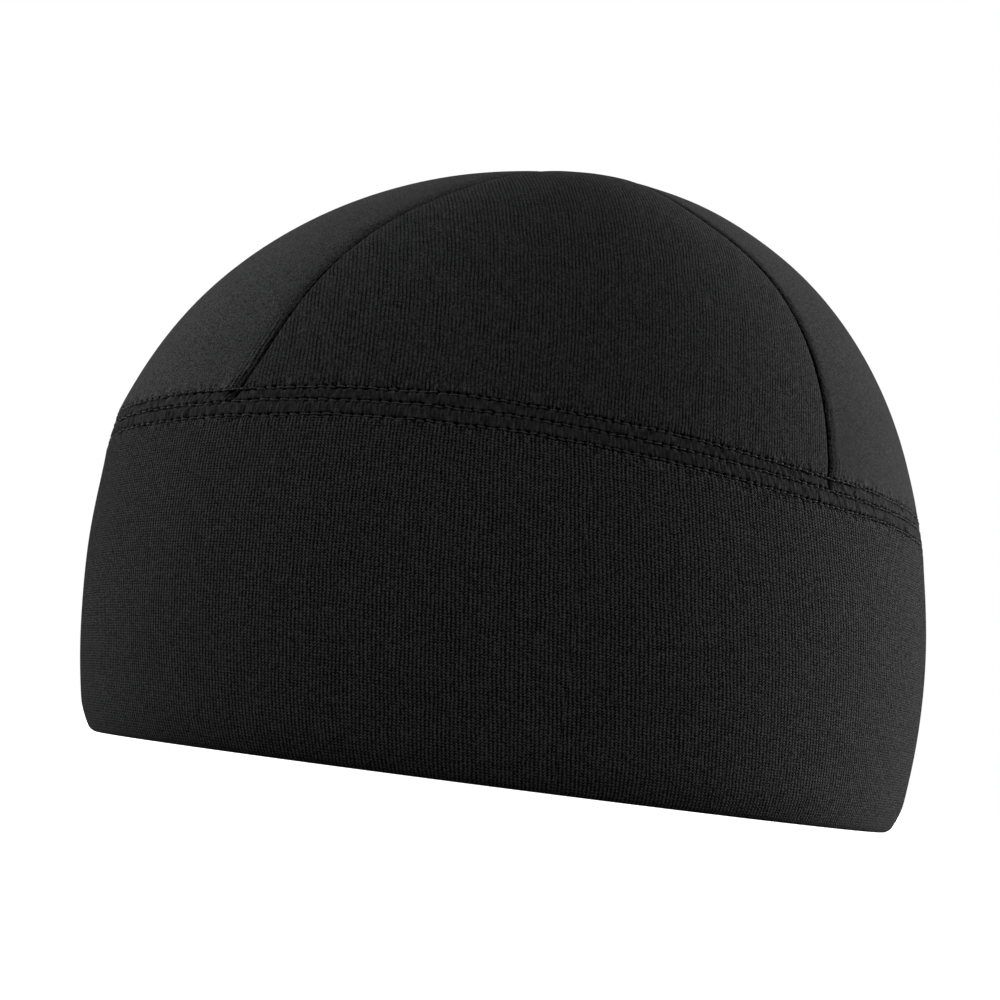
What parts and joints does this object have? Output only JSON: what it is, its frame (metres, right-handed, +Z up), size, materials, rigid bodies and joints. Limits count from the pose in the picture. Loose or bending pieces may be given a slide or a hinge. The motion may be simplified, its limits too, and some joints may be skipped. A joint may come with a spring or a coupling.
{
  "type": "fleece beanie",
  "caption": "Close-fitting fleece beanie with a crown of gores above a deep folded band, open below for the head.",
  "frame": {"origin": "middle of the rim's plane, under the centre of the cap's box", "axes": "+X towards the wearer's left, -Y the way the wearer faces, +Z up through the crown"},
  "size_m": [0.1694, 0.1944, 0.1432],
  "materials": {
    "band_fleece": "smooth knitted face in near-black, fine square grain, matt",
    "crown_fleece": "smooth knitted face in near-black, fine upright ribs, matt"
  },
  "bodies": {
    "root": {"band": "band_fleece", "crown_front": "crown_fleece", "crown_back": "crown_fleece", "crown_left": "crown_fleece", "crown_right": "crown_fleece"}
  },
  "joints": []
}
